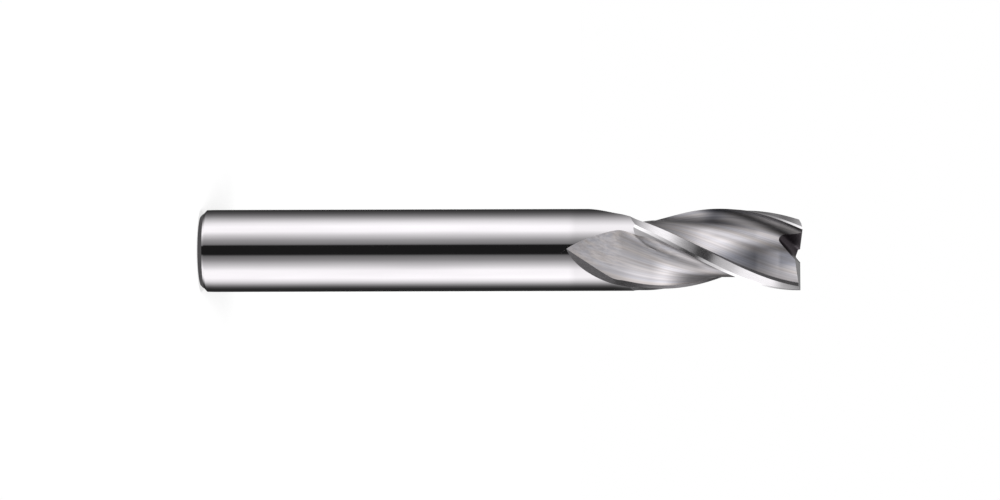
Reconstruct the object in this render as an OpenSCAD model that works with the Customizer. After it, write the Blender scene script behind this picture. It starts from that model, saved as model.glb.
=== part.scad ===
// Three-flute square-end slot end mill of solid carbide.
// One ground piece: a plain round shank with a chamfered end, three right-hand
// helical flutes that run out into the shank, two-step relieved lands behind the
// cutting edges, and three end teeth with gashes, one of which reaches the centre.
// The axis is Z, the centre of the shank's end face is the origin and the cutting
// end points up. The first tooth's cutting edge reaches the tip on the +X side.

/* [Blank] */
// Diameter of the shank
shank_d = 10; // [9:0.1:12]
// Overall length, from the shank's end face to the cutting corners
overall_len = 73; // [66:0.5:110]
// Chamfer at the shank's end, measured along the axis and across it
shank_chamfer = 0.8; // [0.2:0.1:2]

/* [Cutting part] */
// Number of flutes and teeth
flute_count = 3; // [2:1:4]
// Diameter over the cutting edges
cutting_d = 9.96; // [9:0.02:10]
// Length of one full turn of the helix
helix_lead = 58.4; // [45:0.2:120]
// Length of the relieved lands, from the cutting corners back
land_len = 19.5; // [12:0.5:24]
// Diameter of the core left between the flutes
core_d = 6.7; // [6:0.05:7.2]
// Radius of the hook between the rake face and the core
hook_r = 1.6; // [1.3:0.05:2]

/* [Lands] */
// Width of the primary relief behind the cutting edge
primary_w = 0.4; // [0.2:0.05:0.8]
// Clearance angle of the primary relief
primary_angle = 10; // [5:0.5:14]
// Width of the secondary relief, from the primary one to the heel
secondary_w = 1.2; // [0.6:0.05:1.6]
// Clearance angle of the secondary relief
secondary_angle = 20; // [14:0.5:26]
// Lean of the step below the heel, away from the radius
heel_lean = 18; // [5:1:35]
// Height of the step below the heel, across the axis
heel_step = 0.4; // [0.2:0.05:0.7]
// Radius of the curve in which the relief runs out towards the shank
relief_runout_r = 3; // [1:0.5:8]

/* [Flute run-out] */
// Slope on which the flat floor climbs out of the blank
exit_slope = 12; // [9:0.5:16]
// Slope on which the step below the heel moves across the blank
step_slope = 29.6; // [20:0.2:34]
// Distance from the start of the lands back to where the floor leaves the helix
exit_back = 2.4; // [1:0.1:4]
// Distance from the start of the lands back to where the step begins to move
step_back = 3; // [1.5:0.1:5]
// Distance from the start of the lands forward to where the hook is complete
hook_forward = 4.7; // [3:0.1:8]
// Length over which the hook comes in from the flat floor
hook_len = 4; // [3:0.1:6]

/* [End teeth] */
// Dish of the end cutting edges, towards the centre
dish_angle = 0.5; // [0.2:0.1:3]
// Width of the primary end relief
end_primary_w = 1; // [0.4:0.05:1.5]
// Clearance angle of the primary end relief
end_primary_angle = 6.5; // [4:0.5:12]
// Clearance angle of the secondary end relief
end_secondary_angle = 18; // [13:0.5:25]
// Slope of the gash floor, against the end plane
gash_angle = 31; // [20:1:45]
// Depth of the gash floor at the centre, below the cutting corners
gash_centre_depth = 0.75; // [0.4:0.05:1.2]
// Radius at the bottom of the gash
gash_r = 0.7; // [0.3:0.05:1.2]
// Slope of the gash's open flank, across the gash
gash_flank_angle = 32; // [20:1:50]
// Lean of the gash's steep side below the end cutting edge
gash_rake_angle = 5; // [0:0.5:12]
// Distance from the centre at which the gash facing the long tooth stops
gash_stop = 0.35; // [0.1:0.05:1]

/* [Fineness] */
// Distance between the sections of the cutting part
ring_step = 0.45; // [0.45:0.05:1]

/* [Hidden] */

shank_r = shank_d / 2;
cutting_r = cutting_d / 2;
core_r = core_d / 2;
pitch = 360 / flute_count;
twist = 360 / helix_lead;
tip_z = overall_len;
land_z = tip_z - land_len;
exit_z = land_z - exit_back;
step_z = land_z - step_back;
hook_z = land_z + hook_forward;

// Room round and past the blank that the cutting form needs
clear = 1;
outer_r = shank_r + clear;
// Height at which the flat floor has just left the blank
exit_room = 0.2;
start_z = exit_z - (shank_r + exit_room - core_r) / tan(exit_slope);
// Length of the soft bend where the flute leaves the helix
bend = 0.8;
// Softness of the crease between the hook and the flat floor, and of the change
// from the flat floor to the round core
crease = 0.08;
flat_soft = 0.3;

// Height of the loft's closing point above the tip
apex_room = 3;
// How far beyond the centre the gashes that cross it begin
gash_across = outer_r / 2;

// Sides of the round blank, and steps along the hook, the core, the floor, the
// secondary relief, the bottom of the gash and the rim of an end tooth
blank_sides = 128;
hook_steps = 8;
core_steps = 5;
floor_steps = 4;
secondary_steps = 2;
gash_arc_steps = 6;
rim_steps = 4;

// Plane geometry of the cross-section; angles are measured from the cutting edge
function polar(r, a) = [r * cos(a), r * sin(a)];
function angle_of(p) = atan2(p[1], p[0]);
function turn(p, a) = [p[0] * cos(a) - p[1] * sin(a), p[0] * sin(a) + p[1] * cos(a)];
function clamp(x, low, high) = min(max(x, low), high);
function third_side_angle(a, b, c) = acos(clamp((a * a + b * b - c * c) / (2 * a * b), -1, 1));

// A line is [normal angle, distance from the axis]
function line_through(p, normal) = [normal, p * polar(1, normal)];
function meet(m, n) =
    let (det = sin(n[0] - m[0]))
    [(m[1] * sin(n[0]) - n[1] * sin(m[0])) / det, (n[1] * cos(m[0]) - m[1] * cos(n[0])) / det];

// Land of one tooth in the full section
edge = [cutting_r, 0];
primary_end = edge - primary_w * polar(1, 90 - primary_angle);
heel_behind = primary_end - secondary_w * polar(1, 90 - secondary_angle);
heel = turn(heel_behind, pitch);
secondary_line = line_through(heel, pitch - secondary_angle);

// Step below the heel and the flat floor that rises to it from the core
heel_angle = angle_of(heel);
step_line = line_through(heel, heel_angle + heel_lean - 90);
step_foot = heel - heel_step / cos(heel_lean) * polar(1, heel_angle + heel_lean);
foot_angle = angle_of(step_foot);
floor_normal = foot_angle - acos(core_r / norm(step_foot));

// Hook: an arc that touches the core and ends in the cutting edge
hook_centre_r = core_r + hook_r;
hook_angle = third_side_angle(cutting_r, hook_centre_r, hook_r);
// How much further out the flat floor lies at the hook than where it touches the core
floor_turn = floor_normal - hook_angle;
floor_rise = 1 / cos(floor_turn) - 1;

// Run-out: a soft ramp, and how far the relief has climbed at height z
function ramp(x) = (x + sqrt(x * x + bend * bend)) / 2;
function relief_lift(z) =
    let (back = max(land_z - z, 0))
    min(back * back / (2 * relief_runout_r), clear);

// Below the exit the floor and the step no longer turn with the helix, so both are
// plane facets there. The angles are still measured from the turning cutting edge.
function unturned(z) = twist * ramp(exit_z - z);
function floor_line(z) = [floor_normal + unturned(z), core_r + tan(exit_slope) * ramp(exit_z - z)];
function step_at(z) = [step_line[0] + unturned(z), step_line[1] + tan(step_slope) * ramp(step_z - z)];
function lower_of(r, s, soft) = (r + s - sqrt((r - s) * (r - s) + soft * soft)) / 2;
function line_r(line, a) = line[1] / max(cos(a - line[0]), line[1] / outer_r);

// How far the bottom of the hook has climbed: 0 is the core, 1 the flat floor, and
// above 1 it has left the floor
function climb(z) = ramp(hook_z - z) / hook_len;
// How flat the core's side of the floor is at that climb: 0 is round, 1 is flat
function flatness(z) =
    let (part = clamp(lower_of(climb(z), 1, flat_soft), 0, 1))
    acos(1 / (1 + part * floor_rise)) / floor_turn;
function core_line_r(z, a) =
    let (floor = floor_line(z))
    line_r([0, floor[1]], flatness(z) * (floor[0] - a));

// Points of the cutting form from one cutting edge to the next, at height z
function hook_points(z) =
    let (
        floor = floor_line(z),
        low_r = min(floor[1] * (1 + climb(z) * floor_rise), shank_r + clear / 2),
        centre_r = low_r + hook_r,
        centre = polar(centre_r, hook_angle),
        edge_r = cutting_r + relief_lift(z),
        edge_angle = hook_angle - third_side_angle(edge_r, centre_r, hook_r),
        start = angle_of(polar(edge_r, edge_angle) - centre),
        end = hook_angle - 180,
        join = core_line_r(z, hook_angle) - lower_of(low_r, line_r(floor, hook_angle), crease)
    )
    [
        for (i = [0:hook_steps - 1])
            let (
                p = centre + hook_r * polar(1, start + (end - start) * i / hook_steps),
                a = angle_of(p)
            )
            polar(lower_of(norm(p), line_r(floor, a), crease) + join * a / hook_angle, a)
    ];
function floor_points(z) =
    let (
        floor = floor_line(z),
        foot_a = angle_of(meet(floor, step_at(z)))
    )
    [
        for (i = [0:core_steps - 1])
            let (a = hook_angle + (floor[0] - hook_angle) * i / core_steps)
            polar(core_line_r(z, a), a),
        for (i = [0:floor_steps])
            let (a = floor[0] + (foot_a - floor[0]) * i / floor_steps)
            polar(line_r(floor, a), a)
    ];
function land_points(z) =
    let (
        lift = relief_lift(z) * polar(1, heel_angle),
        crest = meet(step_at(z), line_through(heel + lift, secondary_line[0])),
        land_end = turn(primary_end, pitch) + lift
    )
    [for (i = [0:secondary_steps]) crest + (land_end - crest) * i / secondary_steps];
function tooth_points(z) = concat(hook_points(z), floor_points(z), land_points(z));
function ring(z, height) =
    let (points = tooth_points(z))
    [
        for (k = [0:flute_count - 1])
            for (p = points)
                let (q = turn(p, k * pitch + twist * (z - tip_z)))
                [q[0], q[1], height]
    ];

// The cutting form: sections of the teeth and flutes, lofted along the helix. Below the
// flutes it lies outside the shank, so the blank keeps its own round surface there.
module cutting_form() {
    rings = ceil((tip_z + clear - start_z) / ring_step);
    sections = concat(
        [ring(start_z, -clear)],
        [for (i = [0:rings]) ring(start_z + i * ring_step, start_z + i * ring_step)]
    );
    count = len(sections);
    size = len(sections[0]);
    points = concat(
        [for (s = sections) for (p = s) p],
        [[0, 0, -clear], [0, 0, tip_z + apex_room]]
    );
    faces = concat(
        [for (j = [0:size - 1]) [count * size, j, (j + 1) % size]],
        [
            for (i = [0:count - 2])
                for (j = [0:size - 1])
                    for (half = [0, 1])
                        let (
                            a = i * size + j,
                            b = i * size + (j + 1) % size
                        )
                        half == 0 ? [a, a + size, b] : [b, a + size, b + size]
        ],
        [for (j = [0:size - 1]) [count * size + 1, (count - 1) * size + (j + 1) % size, (count - 1) * size + j]]
    );
    polyhedron(points, faces);
}

// Ground blank with its chamfer
module blank() {
    rotate_extrude($fn = blank_sides)
        polygon([
            [0, 0],
            [shank_r - shank_chamfer, 0],
            [shank_r, shank_chamfer],
            [shank_r, tip_z],
            [0, tip_z]
        ]);
}

// What is ground off one end tooth: all above its two sloping end faces, from its own
// end cutting edge back to the next one. The edge falls a little towards the centre.
module end_relief() {
    drop = end_primary_w * tan(end_primary_angle);
    far = 2 * outer_r;
    intersection() {
        translate([cutting_r, 0, tip_z])
            rotate([0, -dish_angle, 0])
                rotate([90, 0, -90])
                    translate([0, 0, -clear])
                        linear_extrude(far)
                            polygon([
                                [0, 0],
                                [end_primary_w, -drop],
                                [far, -drop - (far - end_primary_w) * tan(end_secondary_angle)],
                                [far, far],
                                [0, far]
                            ]);
        translate([0, 0, tip_z - far])
            linear_extrude(2 * far)
                polygon([[0, 0], for (i = [0:rim_steps]) polar(far, -pitch * i / rim_steps)]);
    }
}

// Gash in front of one end cutting edge: a steep side below the edge, a round bottom
// and an open flank, running down and outwards from start_x on the tooth's own side
module gash(start_x) {
    far = 2 * outer_r;
    translate([0, 0, tip_z])
        rotate([-gash_rake_angle, 0, 0])
            translate([0, 0, -gash_centre_depth])
                rotate([0, 90 + gash_angle, 0])
                    translate([0, 0, start_x])
                        linear_extrude(far)
                            polygon([
                                [-far, 0],
                                for (i = [0:gash_arc_steps])
                                    let (a = 180 + (90 + gash_flank_angle) * i / gash_arc_steps)
                                    [-gash_r * (1 + sin(a)), gash_r * (1 + cos(a))],
                                [-gash_r - far * sin(gash_flank_angle), gash_r + far * cos(gash_flank_angle)],
                                [-far, far]
                            ]);
}

module end_mill() {
    long_tooth = flute_count - 1;
    color([0.66, 0.66, 0.68])
        difference() {
            intersection() {
                blank();
                cutting_form();
            }
            for (k = [0:flute_count - 1])
                rotate(k * pitch) {
                    end_relief();
                    gash(k == long_tooth - 1 ? gash_stop : -gash_across);
                }
        }
}

end_mill();
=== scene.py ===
# %% [markdown]
# # A slot end mill, ground from one carbide rod
# The tool is one solid piece: a plain shank, three helical flutes that run out into
# it, relieved lands behind the cutting edges, and three end teeth. Everything on it
# was made by a grinding wheel, so every face is crisp and carries fine wheel marks.
# The measured part is loaded first. It is the frame that the picture has to fit.

# %% Load the measured part
import math

import bmesh
import bpy
from mathutils import Matrix, Vector


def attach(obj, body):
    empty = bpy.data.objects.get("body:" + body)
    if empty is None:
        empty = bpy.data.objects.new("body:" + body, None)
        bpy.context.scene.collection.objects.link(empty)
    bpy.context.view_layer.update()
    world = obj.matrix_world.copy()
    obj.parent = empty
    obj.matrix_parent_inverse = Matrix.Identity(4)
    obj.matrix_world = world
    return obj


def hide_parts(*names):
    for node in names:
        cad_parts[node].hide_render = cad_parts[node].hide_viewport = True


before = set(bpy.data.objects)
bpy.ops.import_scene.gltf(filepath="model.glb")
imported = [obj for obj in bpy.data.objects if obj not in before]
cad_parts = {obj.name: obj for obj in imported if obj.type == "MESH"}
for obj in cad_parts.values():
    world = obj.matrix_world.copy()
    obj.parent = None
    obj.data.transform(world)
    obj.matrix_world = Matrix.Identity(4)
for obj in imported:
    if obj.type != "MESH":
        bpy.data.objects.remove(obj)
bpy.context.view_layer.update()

MM = 0.001

# %% [markdown]
# ## Camera
# The photograph looks at the tool from the side, from about 414 mm away, with the
# tool's axis across the picture and its tip on the right. The tool stands on its
# shank here, so the camera is rolled by a quarter turn instead: its right is the
# tool's up. The camera comes first, because every later step is judged through it.

# %% Camera
# Measured in the photograph, in its pixels
PIXELS_PER_MM = 8.211
PICTURE_WIDTH = 1000
PICTURE_HEIGHT = 500
DISTANCE_IN_PIXELS = 3400
CAMERA_DISTANCE = DISTANCE_IN_PIXELS / PIXELS_PER_MM
SHANK_END_COLUMN = 201
CENTRE_COLUMN = 588
CENTRE_ROW = 249.82
CAMERA_TURN = math.radians(1.4)
CAMERA_ROLL = math.radians(0.161)
SENSOR = 36

ahead = Vector((math.sin(CAMERA_TURN), math.cos(CAMERA_TURN), 0))
across = Vector((math.cos(CAMERA_TURN), -math.sin(CAMERA_TURN), 0))
up_tool = Vector((0, 0, 1))
camera_right = up_tool * math.cos(CAMERA_ROLL) + across * math.sin(CAMERA_ROLL)
camera_up = up_tool * math.sin(CAMERA_ROLL) - across * math.cos(CAMERA_ROLL)
camera_height = (CENTRE_COLUMN - SHANK_END_COLUMN) / PIXELS_PER_MM

camera_data = bpy.data.cameras.new("camera")
camera_data.sensor_width = SENSOR
camera_data.lens = SENSOR * CAMERA_DISTANCE * PIXELS_PER_MM / PICTURE_WIDTH
camera_data.shift_x = (PICTURE_WIDTH / 2 - CENTRE_COLUMN) / PICTURE_WIDTH
camera_data.shift_y = (CENTRE_ROW - PICTURE_HEIGHT / 2) / PICTURE_WIDTH
camera_data.clip_start = 0.01
camera_data.clip_end = 100
camera = bpy.data.objects.new("camera", camera_data)
bpy.context.scene.collection.objects.link(camera)
turned = Matrix((camera_right, camera_up, -ahead)).transposed().to_4x4()
stand = up_tool * camera_height * MM - ahead * CAMERA_DISTANCE * MM
camera.matrix_world = Matrix.Translation(stand) @ turned
bpy.context.scene.camera = camera
print("camera at mm", [round(v / MM, 1) for v in stand], "lens", round(camera_data.lens, 1))

# %% [markdown]
# ## Sizes
# A scene can't read the part's source, so the sizes that shape the picture are given
# again, in millimetres and degrees, under the same names. Angles round the tool are
# measured from the first tooth's cutting edge.

# %% Sizes
shank_r = 5.0
overall_len = 73.0
shank_chamfer = 0.8
cutting_r = 4.98
helix_lead = 58.4
land_len = 19.5
core_r = 3.35
hook_r = 1.6
flute_count = 3
primary_w, primary_angle = 0.4, 10
secondary_w, secondary_angle = 1.2, 20
heel_lean, heel_step = 18, 0.4
relief_runout_r = 3.0
exit_slope, step_slope = 12, 29.6
exit_back, step_back = 2.4, 3.0
hook_forward, hook_len = 4.7, 4.0
dish_angle = 0.5
end_primary_w, end_primary_angle, end_secondary_angle = 1.0, 6.5, 18
gash_angle, gash_centre_depth, gash_r = 31, 0.75, 0.7
gash_flank_angle, gash_rake_angle, gash_stop = 32, 5, 0.35

# What follows from them
pitch = 360 / flute_count
twist = 360 / helix_lead
exit_rise = math.tan(math.radians(exit_slope))
step_rise = math.tan(math.radians(step_slope))
tip_z = overall_len
land_z = tip_z - land_len
exit_z = land_z - exit_back
step_z = land_z - step_back
hook_z = land_z + hook_forward

# How far a cutter reaches past the surface, and how softly one slope turns into another
clear = 1.0
outer_r = shank_r + clear
bend = 0.8
crease = 0.08
flat_soft = 0.3
print("helix angle", round(math.degrees(math.atan(math.pi * 2 * shank_r / helix_lead)), 1))

# %% [markdown]
# ## The cross-section
# A flute is what a profiled wheel leaves when it follows the helix. Seen in section,
# one tooth goes from the cutting edge down the hooked rake face, round the core, up
# the flat floor to a small step, and over the secondary and primary relief to the
# next cutting edge. Towards the shank the wheel lifts out along two flat facets. A
# function gives this outline at any height, so one loft makes the whole form. It needs
# a little plane geometry, all in degrees.

# %% Angles and turns in the plane
def cosd(a):
    return math.cos(math.radians(a))


def sind(a):
    return math.sin(math.radians(a))


def acosd(x):
    return math.degrees(math.acos(max(-1.0, min(1.0, x))))


def polar(r, a):
    return Vector((r * cosd(a), r * sind(a)))


def angle_of(p):
    return math.degrees(math.atan2(p[1], p[0]))


def turn(p, a):
    return Vector((p[0] * cosd(a) - p[1] * sind(a), p[0] * sind(a) + p[1] * cosd(a)))


def third_side_angle(a, b, c):
    return acosd((a * a + b * b - c * c) / (2 * a * b))


print("third of a turn from (1, 0):", [round(v, 3) for v in turn((1, 0), pitch)])

# %% Lines, and soft steps between them
def line_through(p, normal):
    return normal, p.dot(polar(1, normal))


def meet(m, n):
    det = sind(n[0] - m[0])
    x = (m[1] * sind(n[0]) - n[1] * sind(m[0])) / det
    y = (n[1] * cosd(m[0]) - m[1] * cosd(n[0])) / det
    return Vector((x, y))


def line_r(line, a):
    return line[1] / max(cosd(a - line[0]), line[1] / outer_r)


def lower_of(r, s, soft):
    return (r + s - math.hypot(r - s, soft)) / 2


def ramp(x):
    return (x + math.hypot(x, bend)) / 2


print("a soft step lifts its corner by, mm:", ramp(0))

# %% [markdown]
# ### The points that stay the same
# On the real tool the edge, the two relief slopes behind it and the heel are ground
# last, in fixed steps, so they are worked out once, as points and as straight lines.
# A line is kept as its normal's angle and its distance from the axis, because two such
# lines meet in a point that a short formula gives.

# %% Fixed points of the section
edge = Vector((cutting_r, 0))
primary_end = edge - primary_w * polar(1, 90 - primary_angle)
heel = turn(primary_end - secondary_w * polar(1, 90 - secondary_angle), pitch)
heel_angle = angle_of(heel)
secondary_line = line_through(heel, pitch - secondary_angle)
step_line = line_through(heel, heel_angle + heel_lean - 90)
step_foot = heel - heel_step / cosd(heel_lean) * polar(1, heel_angle + heel_lean)
floor_normal = angle_of(step_foot) - acosd(core_r / step_foot.length)
hook_angle = third_side_angle(cutting_r, core_r + hook_r, hook_r)
floor_turn = floor_normal - hook_angle
floor_rise = 1 / cosd(floor_turn) - 1
print("hook bottom at", round(hook_angle, 1), "heel at", round(heel_angle, 1), "degrees")

# %% [markdown]
# ### One tooth, zone by zone
# The outline goes round one tooth: hook and floor of the flute, the small step below
# the heel, then the secondary and the primary relief. Each stretch gets a fixed number
# of points, because rings with the same count can be joined face by face later.

# %% Zones of one tooth
HOOK_STEPS, CORE_STEPS, FLOOR_STEPS, LAND_STEPS = 20, 12, 8, 3
SHANK, CHAMFER, FACE, FLUTE, STEP, SECONDARY, PRIMARY, END, GASH = range(9)
TOOTH_ZONES = (
    [FLUTE] * (HOOK_STEPS + CORE_STEPS + FLOOR_STEPS)
    + [STEP]
    + [SECONDARY] * LAND_STEPS
    + [PRIMARY]
)
print("faces round one tooth:", len(TOOTH_ZONES))

# %% [markdown]
# ### What changes on the way to the shank
# The wheel leaves the flute along a flat slope, so the floor's line moves outwards the
# lower the section lies. The step and the relief climb on slopes of their own, and the
# hook fades out. Soft steps instead of sharp ones give these slopes the rounded
# beginnings that a round wheel leaves.

# %% Floor, step, relief and hook at height z
def floor_line(z):
    lift = ramp(exit_z - z)
    return floor_normal + twist * lift, core_r + exit_rise * lift


def step_at(z):
    lift = step_rise * ramp(step_z - z)
    return step_line[0] + twist * ramp(exit_z - z), step_line[1] + lift


def relief_lift(z):
    back = max(land_z - z, 0)
    return min(back * back / (2 * relief_runout_r), clear)


def climb(z):
    return ramp(hook_z - z) / hook_len


def flatness(z):
    part = max(lower_of(climb(z), 1, flat_soft), 0)
    return acosd(1 / (1 + part * floor_rise)) / floor_turn


leaf_start = exit_z - (shank_r - core_r) / exit_rise
print("floor at the run-out's middle, mm:", round(floor_line((leaf_start + exit_z) / 2)[1], 2))

# %% [markdown]
# ### The outline at one height
# Now the pieces are put in order. The hook is an arc that touches the core. From its
# bottom the outline eases over to the floor's straight line, then follows the step
# and the relief to the next tooth's edge. It could be drawn as a curve and swept, but
# a plain list of points keeps every corner where the wheel would put it.

# %% The outline of one tooth
def core_line_r(z, a):
    floor = floor_line(z)
    return line_r((0, floor[1]), flatness(z) * (floor[0] - a))


def tooth_outline(z):
    floor = floor_line(z)
    low_r = min(floor[1] * (1 + climb(z) * floor_rise), shank_r + clear / 2)
    centre_r = low_r + hook_r
    centre = polar(centre_r, hook_angle)
    edge_r = cutting_r + relief_lift(z)
    edge_angle = hook_angle - third_side_angle(edge_r, centre_r, hook_r)
    start = angle_of(polar(edge_r, edge_angle) - centre)
    end = hook_angle - 180
    gap = core_line_r(z, hook_angle) - lower_of(low_r, line_r(floor, hook_angle), crease)
    points = []
    for i in range(HOOK_STEPS):
        p = centre + hook_r * polar(1, start + (end - start) * i / HOOK_STEPS)
        a = angle_of(p)
        points.append(polar(lower_of(p.length, line_r(floor, a), crease) + gap * a / hook_angle, a))
    for i in range(CORE_STEPS):
        a = hook_angle + (floor[0] - hook_angle) * i / CORE_STEPS
        points.append(polar(core_line_r(z, a), a))
    foot_angle = angle_of(meet(floor, step_at(z)))
    for i in range(FLOOR_STEPS + 1):
        a = floor[0] + (foot_angle - floor[0]) * i / FLOOR_STEPS
        points.append(polar(line_r(floor, a), a))
    lift = relief_lift(z) * polar(1, heel_angle)
    crest = meet(step_at(z), line_through(heel + lift, secondary_line[0]))
    land_end = turn(primary_end, pitch) + lift
    for i in range(LAND_STEPS + 1):
        points.append(crest + (land_end - crest) * (i / LAND_STEPS))
    return points


print("points in one section:", flute_count * len(tooth_outline(tip_z)))

# %% [markdown]
# ## From sections to a solid
# The grinding is repeated as it happens: a round blank is cut by the lofted form, then
# by the end relief and the gashes. Booleans keep the true lines where a flat facet
# leaves a cylinder, which a grid of points would only step along. Each face remembers
# its zone in its material number, so the finish can change exactly at an edge.

# %% Mesh helpers
def solid(name, points, faces, zones):
    mesh = bpy.data.meshes.new(name)
    mesh.from_pydata([tuple(c * MM for c in p) for p in points], [], faces)
    for _ in range(GASH + 1):
        mesh.materials.append(None)
    mesh.polygons.foreach_set("material_index", zones)
    mesh.update()
    made = bpy.data.objects.new(name, mesh)
    bpy.context.scene.collection.objects.link(made)
    return made


def combine(body, cutter, operation):
    modifier = body.modifiers.new("cut", "BOOLEAN")
    modifier.object = cutter
    modifier.operation = operation
    modifier.solver = "MANIFOLD"
    depsgraph = bpy.context.evaluated_depsgraph_get()
    result = bpy.data.meshes.new_from_object(body.evaluated_get(depsgraph))
    body.modifiers.clear()
    old = body.data
    body.data = result
    bpy.data.meshes.remove(old)
    bpy.data.objects.remove(cutter)


def prism(name, outline, length, place, zone):
    count = len(outline)
    points = [place @ Vector((x, y, h)) for h in (0, length) for x, y in outline]
    faces = [tuple(range(count))[::-1], tuple(range(count, 2 * count))]
    faces += [(i, (i + 1) % count, count + (i + 1) % count, count + i) for i in range(count)]
    return solid(name, points, faces, [zone] * len(faces))


print("zones that a solid can have:", GASH + 1)

# %% [markdown]
# ### The round blank
# The blank is a cut length of polished rod with a chamfer at the end that goes into
# the holder. A profile turned round the axis in small steps makes it. Where chamfer
# and cylinder meet, an edge break of a few hundredths of a millimetre is added, for
# only a real edge with some width can catch a highlight.

# %% The round blank
BLANK_STEPS = 360
EDGE_ROUND = 0.04


def blank_profile():
    lean = EDGE_ROUND * sind(45)
    return [
        (0, 0, FACE),
        (shank_r - shank_chamfer - EDGE_ROUND, 0, CHAMFER),
        (shank_r - shank_chamfer + lean, lean, CHAMFER),
        (shank_r - lean, shank_chamfer - lean, CHAMFER),
        (shank_r, shank_chamfer + EDGE_ROUND, SHANK),
        (shank_r, tip_z, END),
        (0, tip_z, END),
    ]


profile = blank_profile()
blank_points = [Vector((0, 0, 0)), Vector((0, 0, tip_z))]
blank_faces, blank_zones = [], []
for i in range(BLANK_STEPS):
    for r, h, _ in profile[1:-1]:
        blank_points.append(Vector((*polar(r, 360 * i / BLANK_STEPS), h)))
rows = len(profile) - 2
for i in range(BLANK_STEPS):
    a, b = 2 + i * rows, 2 + (i + 1) % BLANK_STEPS * rows
    blank_faces.append((0, b, a))
    blank_zones.append(FACE)
    for k in range(rows - 1):
        blank_faces.append((a + k, b + k, b + k + 1, a + k + 1))
        blank_zones.append(profile[k + 1][2])
    blank_faces.append((1, a + rows - 1, b + rows - 1))
    blank_zones.append(END)
tool = solid("end_mill_body", blank_points, blank_faces, blank_zones)
print("blank faces:", len(blank_faces))

# %% [markdown]
# ### Teeth and flutes
# Three teeth, each a third of a turn apart, make one ring, and every ring is turned a
# little further along the helix. Rings joined by triangles make a closed form, larger
# than the blank where nothing is ground. What blank and form have in common is the
# fluted tool, and the pointed leaf of the run-out comes out by itself.

# %% One ring of three teeth
RING_STEP = 0.15
# The first ring lies where the flute's floor is this far outside the shank
PAST_SHANK = 0.2
start_z = exit_z - (shank_r + PAST_SHANK - core_r) / exit_rise


def ring(z, height):
    outline = tooth_outline(z)
    ahead_by = twist * (z - tip_z)
    return [
        Vector((*turn(p, k * pitch + ahead_by), height)) for k in range(flute_count) for p in outline
    ]


ring_count = math.ceil((tip_z + clear - start_z) / RING_STEP)
ring_size = flute_count * len(TOOTH_ZONES)
print("rings:", ring_count + 1, "with points:", ring_size)

# %% The lofted form of teeth and flutes
form_points = ring(start_z, -clear)
for i in range(ring_count + 1):
    form_points += ring(start_z + i * RING_STEP, start_z + i * RING_STEP)
form_faces, form_zones = [], []
for i in range(ring_count + 1):
    for j in range(ring_size):
        a, b = i * ring_size + j, i * ring_size + (j + 1) % ring_size
        form_faces += [(a, b, a + ring_size), (b, b + ring_size, a + ring_size)]
        form_zones += [TOOTH_ZONES[j % len(TOOTH_ZONES)]] * 2
low, high = len(form_points), len(form_points) + 1
form_points += [Vector((0, 0, -clear)), Vector((0, 0, tip_z + 3 * clear))]
top = (ring_count + 1) * ring_size
for j in range(ring_size):
    form_faces += [(low, (j + 1) % ring_size, j), (high, top + j, top + (j + 1) % ring_size)]
    form_zones += [END, END]
form = solid("flute_form", form_points, form_faces, form_zones)
print("form faces:", len(form_faces))
combine(tool, form, "INTERSECT")
print("fluted blank faces:", len(tool.data.polygons))

# %% [markdown]
# ## End teeth
# Each end tooth falls away behind its edge in two slopes, and a gash in front of the
# edge lets chips out. One tooth's edge runs on to the centre, so the tool can plunge:
# the gash that faces this tooth stops just short of the axis. A slab and a slot, placed
# by a chain of turns as a grinder tilts the wheel head, cut these faces on each tooth.

# %% End relief
SECTOR_STEPS = 4
reach = 2 * outer_r


def rotation(axis, degrees):
    return Matrix.Rotation(math.radians(degrees), 4, axis)


def relief_cutter(tooth):
    drop = end_primary_w * math.tan(math.radians(end_primary_angle))
    fall = (reach - end_primary_w) * math.tan(math.radians(end_secondary_angle))
    outline = [(0, 0), (end_primary_w, -drop), (reach, -drop - fall), (reach, reach), (0, reach)]
    place = (
        rotation("Z", tooth * pitch)
        @ Matrix.Translation((cutting_r, 0, tip_z))
        @ rotation("Y", -dish_angle)
        @ rotation("X", 90)
        @ rotation("Y", -90)
        @ Matrix.Translation((0, 0, -clear))
    )
    slab = prism("relief", outline, reach, place, END)
    sector = [(0.0, 0.0)]
    for i in range(SECTOR_STEPS + 1):
        sector.append(tuple(polar(reach, -pitch * (SECTOR_STEPS - i) / SECTOR_STEPS)))
    raise_it = rotation("Z", tooth * pitch) @ Matrix.Translation((0, 0, tip_z - reach))
    wedge = prism("sector", sector, 2 * reach, raise_it, END)
    combine(slab, wedge, "INTERSECT")
    return slab


print("end relief falls, degrees:", end_primary_angle, end_secondary_angle)

# %% Gashes
GASH_STEPS = 16
# The tooth whose edge reaches the centre, counted from 0
long_tooth = flute_count - 1


def gash_cutter(tooth):
    start = gash_stop if tooth == long_tooth - 1 else -outer_r / 2
    outline = [(-reach, 0)]
    for i in range(GASH_STEPS + 1):
        a = 180 + (90 + gash_flank_angle) * i / GASH_STEPS
        outline.append((-gash_r * (1 + sind(a)), gash_r * (1 + cosd(a))))
    outline.append((-gash_r - reach * sind(gash_flank_angle), gash_r + reach * cosd(gash_flank_angle)))
    outline.append((-reach, reach))
    place = (
        rotation("Z", tooth * pitch)
        @ Matrix.Translation((0, 0, tip_z))
        @ rotation("X", -gash_rake_angle)
        @ Matrix.Translation((0, 0, -gash_centre_depth))
        @ rotation("Y", 90 + gash_angle)
        @ Matrix.Translation((0, 0, start))
    )
    return prism("gash", outline, reach, place, GASH)


for tooth in range(flute_count):
    combine(tool, relief_cutter(tooth), "DIFFERENCE")
    combine(tool, gash_cutter(tooth), "DIFFERENCE")
print("ground tool faces:", len(tool.data.polygons))

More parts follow.
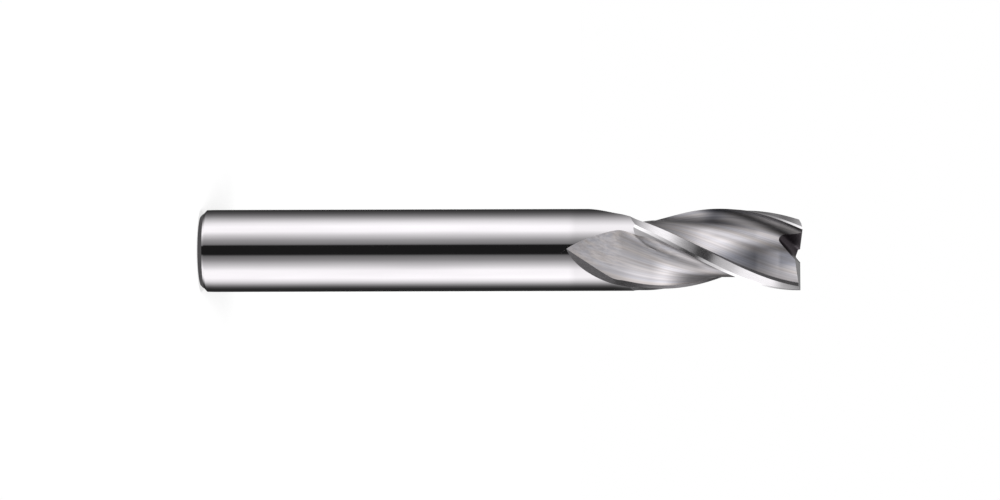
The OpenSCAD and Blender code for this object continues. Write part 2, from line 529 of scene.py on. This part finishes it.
# %% [markdown]
# ## Shading that follows the grinding
# A mirror-bright surface shows every flaw of its mesh. So points that lie on each other
# are joined first, also the few that the cuts leave at the very centre of the tip, and
# edges without a face go. Then an edge is sharp only where two zones meet or the
# surface really turns, and it is smooth everywhere else.

# %% Clean the mesh and mark its edges
CREASE_ANGLE = math.radians(28)
# In metres: how near two points are joined, everywhere and within the centre's radius
WELD = 1e-7
CENTRE_WELD = 6e-6
CENTRE_R = 1e-5

work = bmesh.new()
work.from_mesh(tool.data)
bmesh.ops.remove_doubles(work, verts=work.verts, dist=WELD)
bmesh.ops.dissolve_degenerate(work, dist=WELD, edges=work.edges)
middle = [v for v in work.verts if math.hypot(v.co.x, v.co.y) < CENTRE_R]
bmesh.ops.remove_doubles(work, verts=middle, dist=CENTRE_WELD)
bmesh.ops.dissolve_degenerate(work, dist=WELD, edges=work.edges)
loose = [line for line in work.edges if not line.link_faces]
bmesh.ops.delete(work, geom=loose, context="EDGES")
for face in work.faces:
    face.smooth = True
for line in work.edges:
    two = line.link_faces
    if len(two) == 2:
        turns = two[0].normal.angle(two[1].normal, 0) > CREASE_ANGLE
        line.smooth = not (turns or two[0].material_index != two[1].material_index)
print("open edges:", sum(1 for e in work.edges if len(e.link_faces) != 2))
work.to_mesh(tool.data)
work.free()

# %% [markdown]
# ### Round in every reflection
# The shank is a true cylinder on the real tool, and its reflections run dead straight.
# Many more faces could bring the mesh close to that. Giving each corner the direction
# that the cylinder has there does it exactly, at no cost. The chamfer is a cone, and
# gets the cone's directions, but its narrow edge breaks keep their own.

# %% True directions on the shank and the chamfer
# A face of the cone itself leans down by a share between these
LEAST_LEAN, MOST_LEAN = 0.5, 0.9

mesh = tool.data
normals = [Vector(n.vector) for n in mesh.corner_normals]
for face in mesh.polygons:
    if face.material_index not in (SHANK, CHAMFER):
        continue
    for corner in face.loop_indices:
        place = mesh.vertices[mesh.loops[corner].vertex_index].co
        out = Vector((place.x, place.y, 0)).normalized()
        if face.material_index == CHAMFER:
            out = (out - up_tool * max(-face.normal.z, 0)).normalized()
            if not LEAST_LEAN <= abs(face.normal.z) <= MOST_LEAN:
                out = Vector(face.normal)
        normals[corner] = out
mesh.normals_split_custom_set([tuple(n) for n in normals])
print("corners:", len(normals))

# %% [markdown]
# ## Finishes
# Fine-grain carbide is a light grey metal. What tells its faces apart is how they were
# ground: the shank is polished between centres, the flutes and their run-outs carry
# long marks along the helix, and lands and end teeth have short marks across them. All
# marks are made from the place on the tool, so they stay put from every side. A few
# helpers keep each finish down to the lines that say what it looks like. They build on
# each other, and the first ones add nodes, join them, and do sums and blends.

# %% Basic nodes
class Nodes:
    def __init__(self, owner):
        self.owner = owner
        owner.use_nodes = True
        self.tree = owner.node_tree
        self.tree.nodes.clear()

    def add(self, kind, **settings):
        node = self.tree.nodes.new(kind)
        for key, value in settings.items():
            setattr(node, key, value)
        return node

    def join(self, source, target):
        self.tree.links.new(source, target)

    def put(self, socket, value):
        if isinstance(value, bpy.types.NodeSocket):
            self.join(value, socket)
        else:
            socket.default_value = value

    def maths(self, operation, a, b=0.0):
        node = self.add("ShaderNodeMath", operation=operation)
        self.put(node.inputs[0], a)
        self.put(node.inputs[1], b)
        return node.outputs[0]

    def blend(self, factor, a, b, how="MIX"):
        node = self.add("ShaderNodeMix", data_type="RGBA", blend_type=how)
        self.put(node.inputs["Factor"], factor)
        self.put(node.inputs["A"], a)
        self.put(node.inputs["B"], b)
        return node.outputs["Result"]


print("basic node helpers are ready")

# %% [markdown]
# ### Places on the tool
# Every mark and shade needs to know where on the tool it is. The object's own
# coordinates give the place. Turned back by the helix they stay the same all along a
# flute, and their angle, counted from one tooth to the next, says how far across the
# tooth the place is. An image stretched over the faces would need an unwrapping, and
# would show seams on a twisted form.

# %% Places on the tool
# Part of a tooth by which the shade across it starts before the cutting edge
BEFORE_EDGE = 0.1


class Places(Nodes):
    def place(self):
        return self.add("ShaderNodeTexCoord").outputs["Object"]

    def split(self, vector):
        node = self.add("ShaderNodeSeparateXYZ")
        self.join(vector, node.inputs[0])
        return node.outputs

    def from_axis(self):
        x, y, _ = self.split(self.place())
        squares = self.maths("ADD", self.maths("MULTIPLY", x, x), self.maths("MULTIPLY", y, y))
        return self.maths("SQRT", squares)

    def along_helix(self):
        here = self.place()
        turned_back = self.add("ShaderNodeVectorRotate", rotation_type="Z_AXIS")
        self.join(here, turned_back.inputs["Vector"])
        below_tip = self.maths("SUBTRACT", tip_z * MM, self.split(here)[2])
        back = self.maths("MULTIPLY", below_tip, 2 * math.pi / (helix_lead * MM))
        self.join(back, turned_back.inputs["Angle"])
        return turned_back.outputs[0]

    def turns_between_teeth(self, x, y, start):
        turned = self.maths("DIVIDE", self.maths("ARCTAN2", y, x), 2 * math.pi / flute_count)
        return self.maths("FRACT", self.maths("ADD", turned, flute_count + start))

    def across_tooth(self):
        x, y, _ = self.split(self.along_helix())
        return self.turns_between_teeth(x, y, BEFORE_EDGE)

    def round_tool(self):
        x, y, _ = self.split(self.place())
        return self.turns_between_teeth(x, y, 0.0)

    def along_tool(self, start, end):
        node = self.add("ShaderNodeMapRange", interpolation_type="SMOOTHSTEP")
        self.join(self.split(self.place())[2], node.inputs["Value"])
        node.inputs["From Min"].default_value = start * MM
        node.inputs["From Max"].default_value = end * MM
        return node.outputs["Result"]


print("shade across a tooth starts before its edge, degrees:", round(BEFORE_EDGE * pitch, 1))

# %% [markdown]
# ### Marks and shades
# A noise stretched in one direction is what a grinding wheel leaves. A ramp turns a
# number into a shade by a few stops, and a bump turns a mark into relief, with its
# depth in millimetres.

# %% Marks and shades
# Nearly all of a noise lies between these
NOISE_LOW, NOISE_HIGH = 0.3, 0.7


class Marks(Places):
    def stretched(self, vector, scale):
        node = self.add("ShaderNodeVectorMath", operation="MULTIPLY")
        self.join(vector, node.inputs[0])
        node.inputs[1].default_value = [s / MM for s in scale]
        return node.outputs[0]

    def noise(self, vector, detail=3.0, rough=0.55):
        node = self.add("ShaderNodeTexNoise")
        self.join(vector, node.inputs["Vector"])
        node.inputs["Scale"].default_value = 1.0
        node.inputs["Detail"].default_value = detail
        node.inputs["Roughness"].default_value = rough
        return node.outputs["Fac"]

    def rescaled(self, value, start, end, low=0.0, high=1.0):
        node = self.add("ShaderNodeMapRange")
        self.join(value, node.inputs["Value"])
        node.inputs["From Min"].default_value = start
        node.inputs["From Max"].default_value = end
        node.inputs["To Min"].default_value = low
        node.inputs["To Max"].default_value = high
        return node.outputs["Result"]

    def between(self, factor, low, high):
        return self.rescaled(factor, NOISE_LOW, NOISE_HIGH, low, high)

    def tint(self, factor, dark, light):
        return self.blend(factor, (*dark, 1), (*light, 1))

    def ramp(self, factor, stops):
        node = self.add("ShaderNodeValToRGB")
        self.join(factor, node.inputs["Fac"])
        marks = node.color_ramp.elements
        while len(marks) < len(stops):
            marks.new(1.0)
        for mark, (position, level) in zip(marks, stops):
            mark.position = position
            mark.color = (level, level, level, 1)
        return node.outputs["Color"]

    def relief(self, height, depth, before=None):
        node = self.add("ShaderNodeBump")
        node.inputs["Strength"].default_value = 1.0
        node.inputs["Distance"].default_value = depth * MM
        self.join(height, node.inputs["Height"])
        if before is not None:
            self.join(before, node.inputs["Normal"])
        return node.outputs["Normal"]


print("noise is spread between:", NOISE_LOW, NOISE_HIGH)

# %% [markdown]
# ### Metal and glow
# Bare metal needs only its colour, its roughness and its relief. The paper round the
# tool only glows. Both end in an output node, and the finished material is kept with
# its zone's number.

# %% Metal and glow
class Finish(Marks):
    def metal(self, colour, roughness, normal):
        shader = self.add("ShaderNodeBsdfPrincipled")
        shader.inputs["Metallic"].default_value = 1.0
        self.put(shader.inputs["Base Color"], colour)
        self.put(shader.inputs["Roughness"], roughness)
        self.join(normal, shader.inputs["Normal"])
        return self.finished(shader)

    def glow(self, colour, strength=1.0):
        shader = self.add("ShaderNodeEmission")
        self.put(shader.inputs["Color"], colour)
        shader.inputs["Strength"].default_value = strength
        return shader

    def finished(self, shader, output="ShaderNodeOutputMaterial"):
        self.join(shader.outputs[0], self.add(output).inputs["Surface"])
        return self.owner


def material_nodes(name):
    return Finish(bpy.data.materials.new(name))


finishes = {}


def keep_finish(zone, finish):
    finishes[zone] = finish
    print("finish:", finish.name)


print("zones to finish:", GASH + 1)

# %% [markdown]
# ### Polished shank
# The shank is ground between centres and then polished, so it carries almost nothing
# but faint rings. One noise, squeezed along the axis, makes the rings, a soft cloud
# and long faint lines keep the reflections from looking drawn. Just below the flutes
# the photograph shows the metal a shade darker, from a definite line on, and a soft
# step along the tool gives that.

# %% Polished shank
# Where along the tool the shank turns a shade darker, in millimetres
DARKER_LINE = (44.6, 45.8)
DARKER = (0.90, 0.90, 0.90)


def polished_shank():
    n = material_nodes("polished_shank")
    here = n.place()
    clouds = n.noise(n.stretched(here, (0.5, 0.5, 0.05)), 2.0)
    lines = n.noise(n.stretched(here, (5.0, 5.0, 0.03)), 3.0)
    rings = n.noise(n.stretched(here, (0.3, 0.3, 22.0)), 3.0)
    colour = n.tint(n.between(clouds, 0, 1), (0.71, 0.685, 0.71), (0.78, 0.755, 0.78))
    darker = n.tint(n.along_tool(*DARKER_LINE), (1.0, 1.0, 1.0), DARKER)
    rough = n.between(rings, 0.045, 0.085)
    normal = n.relief(rings, 0.000012, n.relief(clouds, 0.002, n.relief(lines, 0.0002)))
    return n.metal(n.blend(1.0, colour, darker, "MULTIPLY"), rough, normal)


keep_finish(SHANK, polished_shank())

# %% [markdown]
# ### Chamfer and end face
# These two are turned, which leaves fine circles round the axis. A noise that is fed
# only with the distance from the axis makes circles, whatever the mesh looks like.

# %% Chamfer and end face
def turned_face(name, dark, light, rough):
    n = material_nodes(name)
    joined = n.add("ShaderNodeCombineXYZ")
    n.join(n.from_axis(), joined.inputs[0])
    rings = n.noise(n.stretched(joined.outputs[0], (24.0, 1.0, 1.0)), 4.0)
    specks = n.noise(n.stretched(n.place(), (9.0, 9.0, 9.0)), 3.0)
    colour = n.tint(n.between(rings, 0, 1), dark, light)
    return n.metal(colour, n.between(specks, rough - 0.05, rough + 0.07), n.relief(rings, 0.0006))


keep_finish(CHAMFER, turned_face("chamfer", (0.68, 0.655, 0.68), (0.78, 0.755, 0.78), 0.10))
keep_finish(FACE, turned_face("shank_end", (0.34, 0.34, 0.36), (0.46, 0.46, 0.48), 0.3))

# %% [markdown]
# ### Shade in the flutes
# In the photograph the hollows carry soft light and dark that comes from cards round
# the real tool, and a bare mirror would show other things there. Cards for every
# hollow could be placed, but they would spoil the shank. So the flute's colour gets a
# soft painted shade of its own, from a few stops across the tooth and round the tool. It
# depends only on the place on the tool, so it stays where it is from every side.
#
# Across a tooth, 0.1 is the cutting edge, 0.25 the bottom of the hook, 0.6 the middle
# of the floor and 0.93 the foot of the step.

# %% Shade across the tooth, from the leaf to the tip
# Painted shade: each pair is a place across the tooth and the share of the colour left there
ON_THE_LEAF = [(0.36, 0.82), (0.5, 0.75), (0.6, 0.69), (0.72, 0.71), (0.82, 0.65), (0.93, 0.52)]
AT_THE_RUN_OUT = [(0.09, 0.42), (0.18, 0.4), (0.21, 0.6), (0.25, 0.43), (0.29, 0.3), (0.36, 0.38),
                  (0.52, 0.4), (0.6, 0.42), (0.68, 0.54), (0.78, 0.66), (0.86, 0.64), (0.93, 0.53)]
HALFWAY = [(0.12, 0.46), (0.2, 0.49), (0.27, 0.3), (0.33, 0.34), (0.42, 0.57), (0.5, 0.77),
           (0.56, 0.87), (0.9, 1.0), (0.95, 0.68)]
NEAR_THE_TIP = [(0.07, 0.33), (0.12, 0.26), (0.18, 0.22), (0.22, 0.35), (0.27, 0.69), (0.36, 0.7),
                (0.45, 0.7), (0.53, 1.0), (0.72, 0.91), (0.82, 0.85), (0.88, 0.86), (0.93, 0.69)]
# Where along the tool, in millimetres, one shade hands over to the next
SHADE_CHANGES = [
    (50.0, 53.5, AT_THE_RUN_OUT), (54.5, 57.0, HALFWAY), (60.0, 62.5, NEAR_THE_TIP),
]


def shade_along_the_flute(n):
    part = n.across_tooth()
    shade = n.ramp(part, ON_THE_LEAF)
    for start, end, across in SHADE_CHANGES:
        shade = n.blend(n.along_tool(start, end), shade, n.ramp(part, across))
    return shade


print("shades along the flute:", 1 + len(SHADE_CHANGES))

# %% Shade round the tool near the tip, and the blue patch in it
# Painted shade round the tool, from one tooth's third of a turn to the next
ROUND_THE_TOOL = [
    (0.0, 0.68), (0.10, 1.0), (0.20, 0.92), (0.29, 0.64), (0.36, 0.44), (0.47, 0.44), (0.55, 0.66),
    (0.63, 0.78), (0.75, 0.94), (0.82, 0.88), (0.90, 0.70), (1.0, 0.68),
]
BLUE_PATCH = [(0.24, 0.0), (0.34, 1.0), (0.48, 1.0), (0.58, 0.0)]
BLUE = (0.93, 0.97, 1.05, 1)
WHITE = (1.0, 1.0, 1.0, 1)
# Along the tool, in millimetres, this shade comes in, eases off and comes back
SHADE_STARTS, SHADE_EASES, SHADE_RETURNS = (60.5, 63.0), (66.5, 68.5), (69.5, 71.0)
EASED_TO = 0.6


def shade_round_the_tip(n):
    eased = n.maths("SUBTRACT", n.along_tool(*SHADE_EASES), n.along_tool(*SHADE_RETURNS))
    strength = n.maths("MULTIPLY", n.along_tool(*SHADE_STARTS), n.between(eased, 1.0, EASED_TO))
    part = n.round_tool()
    blue = n.maths("MULTIPLY", n.ramp(part, BLUE_PATCH), strength)
    return n.blend(strength, WHITE, n.ramp(part, ROUND_THE_TOOL)), n.blend(blue, WHITE, BLUE)


print("this shade starts at mm:", SHADE_STARTS)

# %% [markdown]
# ### Grinding marks in the flutes
# A wheel that follows the helix leaves long marks along it. The place on the tool is
# turned back along the helix first, and a noise stretched in that direction becomes
# streaks. They go into the colour, faintly, and into the relief, where they make the
# reflections run along the flute.

# %% Ground flute
def ground_flute():
    n = material_nodes("ground_flute")
    here = n.place()
    helix = n.along_helix()
    lines = n.noise(n.stretched(helix, (4.0, 4.0, 0.03)), 4.0, 0.6)
    fine = n.noise(n.stretched(helix, (26.0, 26.0, 0.12)), 3.0)
    warmth = n.noise(n.stretched(helix, (1.6, 1.6, 0.05)), 2.0)
    streaks = n.tint(n.between(lines, -0.4, 1.4), (0.76, 0.735, 0.76), (0.98, 0.945, 0.965))
    tints = n.tint(n.between(warmth, 0, 1), (1.0, 0.96, 0.92), (0.93, 0.95, 1.0))
    colour = n.blend(1.0, streaks, tints, "MULTIPLY")
    for shade in (shade_along_the_flute(n), *shade_round_the_tip(n)):
        colour = n.blend(1.0, colour, shade, "MULTIPLY")
    rough = n.between(fine, 0.28, 0.38)
    specks = n.noise(n.stretched(here, (14.0, 14.0, 14.0)), 2.0)
    normal = n.relief(lines, 0.006, n.relief(fine, 0.0016, n.relief(specks, 0.0006)))
    return n.metal(colour, rough, normal)


keep_finish(FLUTE, ground_flute())

# %% [markdown]
# ### Lands, heel step and end teeth
# The narrow faces behind the edges are ground across, so their marks are short and the
# metal is brighter than in the flutes. The same recipe, with other colours and another
# stretch of the noise, makes all five. The heel step and the gash get near-black colours,
# which are painted shade. Towards the tip the broad relief is darker in the photograph,
# and a painted shade gives that. Where the hook begins, a strip beside the edge isn't
# hollowed out yet: it gets the grey and the roughness of the leaf beside it.

# %% Lands, heel step and end teeth
# The strip's strength across the tooth, counted as for the flutes
SKIN = [(0.102, 0.0), (0.11, 1.0), (0.4, 1.0), (0.5, 0.0)]
SKIN_GREY = (0.38, 0.37, 0.38, 1)
SKIN_ROUGHER = 0.15
# Where along the tool, in millimetres, a painted shade darkens the broad relief
RELIEF_DARKENS = (69.3, 71.0)


def ground_land(name, dark, light, rough, scale=(16.0, 16.0, 1.2), painted_shade_at_tip=1.0, skin=0.0):
    n = material_nodes(name)
    helix = n.along_helix()
    marks = n.noise(n.stretched(helix, scale), 4.0, 0.6)
    specks = n.noise(n.stretched(n.place(), (10.0, 10.0, 10.0)), 2.0)
    colour = n.tint(n.between(marks, 0, 1), dark, light)
    # Painted shade: the colour is darkened towards the tip
    darker = n.blend(n.along_tool(*RELIEF_DARKENS), WHITE, (painted_shade_at_tip, painted_shade_at_tip, painted_shade_at_tip, 1))
    colour = n.blend(1.0, colour, darker, "MULTIPLY")
    roughness = n.between(specks, rough - 0.04, rough + 0.05)
    if skin:
        strip = n.ramp(n.across_tooth(), SKIN)
        colour = n.blend(strip, colour, SKIN_GREY)
        roughness = n.maths("ADD", roughness, n.maths("MULTIPLY", strip, skin))
    return n.metal(colour, roughness, n.relief(marks, 0.0015))


# The heel step and the gash are painted near black, as painted shade
step_colours_painted_shade = (0.15, 0.145, 0.15), (0.24, 0.23, 0.24)
secondary_colours = (0.66, 0.64, 0.66), (0.78, 0.76, 0.78)
primary_colours = (0.84, 0.82, 0.84), (0.93, 0.91, 0.93)
end_colours = (0.44, 0.43, 0.44), (0.56, 0.55, 0.56)
gash_colours_painted_shade = (0.07, 0.058, 0.067), (0.12, 0.103, 0.116)
keep_finish(STEP, ground_land("heel_step", *step_colours_painted_shade, 0.3))
keep_finish(SECONDARY, ground_land("secondary_relief", *secondary_colours, 0.2, painted_shade_at_tip=0.6))
keep_finish(PRIMARY, ground_land("primary_relief", *primary_colours, 0.18, skin=SKIN_ROUGHER))
keep_finish(END, ground_land("end_relief", *end_colours, 0.2, (18.0, 3.0, 3.0)))
keep_finish(GASH, ground_land("gash", *gash_colours_painted_shade, 0.32, (3.0, 18.0, 3.0)))

# %% [markdown]
# ### Every zone gets its finish
# Each face already knows its zone from the grinding, as a number. The finishes are now
# put in those places, so none of them has to be painted or unwrapped.

# %% Every zone gets its finish
for zone, finish in finishes.items():
    tool.data.materials[zone] = finish
print("finished zones:", len(tool.data.materials))

# %% [markdown]
# ## Light
# A polished cylinder shows its surroundings, so what stands round it matters more
# than any lamp. In a tool maker's studio that is a tube of paper: two long bright
# sheets at the sides, grey cards that fade towards the middle, a black strip where the
# lens looks in, and black towards the back, which draws the dark outline. Straight
# behind, a narrow bright sheet is hidden from the lens by the tool itself: it gives
# the back its shine. Lamps could make the same bands, but they would also light the
# floor. Each paper is a short list: the angle at which a round shank mirrors it, and
# how bright it is there.

# %% Sizes of the paper tube
TUBE_R = 20.0
TUBE_TOP = 112.0
TUBE_STEPS = 192
# A ring of paper just above the floor, with a dark rim under the chamfer
RING_R = 4.23
RING_HEIGHT = 0.02
DARK_RIM_R = 4.86
RIM_SOFT = 0.05
RIM_SHADE = 0.08
print("paper tube radius, mm:", TUBE_R)

# %% Shades of the paper round the shank, the run-outs and the flutes
# Each pair is the angle at which the shank mirrors this place, 0 towards the lens and
# positive towards the picture's lower side, and the shade there
SHANK_PAPER = [
    (-206, 0.90), (-184, 0.80), (-180, 0.03), (-150, 0.05), (-133, 0.11), (-120, 0.23),
    (-110, 0.40), (-101, 0.62), (-92, 0.87), (-84, 1.10), (-72, 1.32), (-56, 1.28), (-44, 0.82),
    (-30, 0.42), (-18, 0.24), (-14.5, 0.014), (10.5, 0.014), (15, 0.18), (27, 0.34), (42, 0.74),
    (58, 1.25), (84, 1.32), (95, 1.04), (104, 0.72), (114, 0.36), (125, 0.12), (139, 0.03),
    (180, 0.02), (184, 0.80), (206, 0.90),
]
# The same for what the run-outs and the lower lands mirror, higher up
RUN_OUT_PAPER = [
    (-206, 0.90), (-184, 0.80), (-180, 0.08), (-150, 0.18), (-133, 0.26), (-120, 0.34),
    (-110, 0.45), (-101, 0.62), (-92, 0.87), (-84, 1.10), (-72, 1.32), (-56, 1.28), (-44, 0.82),
    (-30, 0.42), (-18, 0.24), (-12, 0.05), (8, 0.05), (12, 0.36), (20, 0.60), (42, 0.80),
    (58, 1.25), (84, 1.32), (102, 1.32), (115, 0.90), (127, 0.42), (140, 0.10), (180, 0.03),
    (184, 0.80), (206, 0.90),
]
# The same for what the flutes mirror near the tip
FLUTE_PAPER = [
    (-180, 0.40), (-122, 0.30), (-112, 0.50), (-102, 0.85), (-85, 1.10), (-55, 1.15), (-30, 1.05),
    (-12, 0.60), (0, 0.34), (16, 0.36), (34, 0.80), (60, 1.15), (80, 1.32), (128, 1.32),
    (142, 0.85), (156, 0.30), (168, 0.12), (180, 0.10),
]
# The brightest shade in the lists
PAPER_TOP = 1.32
# The mirror angle of the paper straight behind the tool, which only the back shows
PAPER_END = 206
# Heights in millimetres over which one paper hands over to the next, and then to grey
TO_RUN_OUT, TO_FLUTE, TO_GREY = (50.0, 54.0), (70.0, 77.0), (79.0, 82.0)
GREY_SHADE = 0.35
LID_SHADE = 0.45
print("brightest paper:", PAPER_TOP)

# %% [markdown]
# ### The paper as a material
# One material glows with the right shade at each angle, and its shade changes along the
# tool from the shank's paper to the run-outs' and the flutes'. Above the tip it is
# plain grey, for the end teeth. A shank mirrors paper that is near under a wider angle
# than paper far away, so the angle is corrected by the distance from the axis.

# %% Paper with a pattern, and plain paper for the lid
def grey(shade):
    return shade, shade, shade, 1


def patterned_paper(name, dark_rim=None):
    n = material_nodes(name)
    x, y, _ = n.split(n.place())
    out = n.from_axis()
    widen = n.maths("SUBTRACT", 1.0, n.maths("DIVIDE", shank_r / 2 * MM, out))
    angle = n.maths("DIVIDE", n.maths("ARCTAN2", x, n.maths("MULTIPLY", y, -1.0)), widen)
    position = n.maths("ADD", n.maths("DIVIDE", angle, math.radians(2 * PAPER_END)), 0.5)
    papers = []
    for paper in (SHANK_PAPER, RUN_OUT_PAPER, FLUTE_PAPER):
        stops = [(a / PAPER_END / 2 + 0.5, shade / PAPER_TOP) for a, shade in paper]
        papers.append(n.ramp(position, stops))
    colour = n.blend(n.along_tool(*TO_RUN_OUT), papers[0], papers[1])
    colour = n.blend(n.along_tool(*TO_FLUTE), colour, papers[2])
    colour = n.blend(n.along_tool(*TO_GREY), colour, grey(GREY_SHADE / PAPER_TOP))
    if dark_rim is not None:
        beyond = n.rescaled(out, dark_rim * MM, (dark_rim + RIM_SOFT) * MM)
        colour = n.blend(beyond, grey(RIM_SHADE), colour)
    return n.finished(n.glow(colour, PAPER_TOP))


tube_paper = patterned_paper("tube_paper")
ring_paper = patterned_paper("ring_paper", DARK_RIM_R)
lid_nodes = material_nodes("grey_lid")
lid_paper = lid_nodes.finished(lid_nodes.glow(grey(LID_SHADE)))
print("papers:", tube_paper.name, ring_paper.name, lid_paper.name)

# %% [markdown]
# ### Tube, ring and lid
# The tube stands round the tool, the ring lies below it, where the chamfer and the
# shank's foot look, and the lid closes it above the end teeth. All three are seen only
# in reflections: they hide nothing, light nothing and throw no shadow. The tube could
# be split into cards, but one closed tube leaves no gap for a stray reflection.

# %% Helpers for things that only belong to the stage
def stage_mesh(name, points, faces, material):
    shape = bpy.data.meshes.new(name)
    shape.from_pydata([tuple(c * MM for c in p) for p in points], [], faces)
    shape.materials.append(material)
    made = bpy.data.objects.new(name, shape)
    bpy.context.scene.collection.objects.link(made)
    return made


def only_in_reflections(thing):
    thing.visible_camera = False
    thing.visible_diffuse = False
    thing.visible_transmission = False
    thing.visible_shadow = False
    print("only in reflections:", thing.name)


# %% Paper tube, ring and lid
def paper_band(name, inner, outer, paper):
    points, faces = [], []
    for i in range(TUBE_STEPS):
        for r, h in (inner, outer):
            points.append((*polar(r, 360 * i / TUBE_STEPS), h))
        a, b = 2 * i, 2 * ((i + 1) % TUBE_STEPS)
        faces.append((a, b, b + 1, a + 1))
    band = stage_mesh(name, points, faces, paper)
    band.rotation_euler[2] = -CAMERA_TURN
    only_in_reflections(band)


paper_band("paper_tube", (TUBE_R, 0.0), (TUBE_R, TUBE_TOP), tube_paper)
paper_band("paper_ring", (RING_R, RING_HEIGHT), (TUBE_R, RING_HEIGHT), ring_paper)
lid_edge = [(*polar(TUBE_R, 360 * i / TUBE_STEPS), TUBE_TOP) for i in range(TUBE_STEPS)]
lid = stage_mesh("paper_lid", lid_edge, [tuple(range(TUBE_STEPS))], lid_paper)
only_in_reflections(lid)

# %% [markdown]
# ## Floor
# A wide pale floor takes the tool's shadow. Seen directly, it is mixed with plain white,
# so that it looks like the white paper of the photograph without any more light on the
# tool. A backdrop could stand behind, but beyond the floor the world is white anyway.

# %% Pale floor
FLOOR_HALF = 20000.0
# Share of plain white in the floor where it is seen directly or mirrored
FLOOR_WHITE = 0.7


def seen_or_mirrored(n):
    rays = n.add("ShaderNodeLightPath")
    seen = n.maths("MAXIMUM", rays.outputs["Is Camera Ray"], rays.outputs["Is Glossy Ray"])
    return n.maths("MAXIMUM", seen, rays.outputs["Is Transmission Ray"])


def pale_floor():
    n = material_nodes("pale_floor")
    grain = n.noise(n.stretched(n.place(), (0.8, 0.8, 0.8)), 3.0)
    paint = n.add("ShaderNodeBsdfPrincipled")
    paint.inputs["Roughness"].default_value = 0.9
    paint.inputs["Specular IOR Level"].default_value = 0.0
    n.join(n.tint(n.between(grain, 0, 1), (0.95,) * 3, (0.97,) * 3), paint.inputs["Base Color"])
    white = n.add("ShaderNodeEmission")
    mixed = n.add("ShaderNodeMixShader")
    n.join(n.maths("MULTIPLY", seen_or_mirrored(n), FLOOR_WHITE), mixed.inputs[0])
    n.join(paint.outputs[0], mixed.inputs[1])
    n.join(white.outputs[0], mixed.inputs[2])
    return n.finished(mixed)


corners = [(-1, -1), (1, -1), (1, 1), (-1, 1)]
floor_points = [(x * FLOOR_HALF, y * FLOOR_HALF, 0.0) for x, y in corners]
stage_mesh("floor", floor_points, [(0, 1, 2, 3)], pale_floor())
print("floor, metres across:", 2 * FLOOR_HALF * MM)

# %% [markdown]
# ## World and sun
# Soft light from everywhere and a soft sun from the front keep the tool at a plain
# level. The world is plain white where it is seen or mirrored, and dimmer as a light.
# The sun isn't mirrored, because a polished shank would show it as a hard line.

# %% World
WORLD_LIGHT, WORLD_SEEN = 0.3, 1.0

world = bpy.data.worlds.new("world")
bpy.context.scene.world = world
sky_nodes = Finish(world)
sky = sky_nodes.add("ShaderNodeBackground")
sky.inputs["Color"].default_value = WHITE
level = sky_nodes.rescaled(seen_or_mirrored(sky_nodes), 0.0, 1.0, WORLD_LIGHT, WORLD_SEEN)
sky_nodes.join(level, sky.inputs["Strength"])
sky_nodes.finished(sky, "ShaderNodeOutputWorld")
print("world as a light:", WORLD_LIGHT)

# %% Sun
SUN_STRENGTH = 2.7
SUN_WIDTH = math.radians(12)
SUN_LEAN = math.radians(24)

sun_data = bpy.data.lights.new("soft_sun", "SUN")
sun_data.energy = SUN_STRENGTH
sun_data.angle = SUN_WIDTH
sun = bpy.data.objects.new("soft_sun", sun_data)
sun.rotation_euler = (SUN_LEAN, 0, 0)
sun.visible_glossy = False
bpy.context.scene.collection.objects.link(sun)
bpy.context.scene.view_settings.view_transform = "Standard"
print("sun is in place")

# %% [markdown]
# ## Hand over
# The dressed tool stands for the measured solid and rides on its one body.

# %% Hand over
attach(tool, "root")
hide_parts("end_mill")
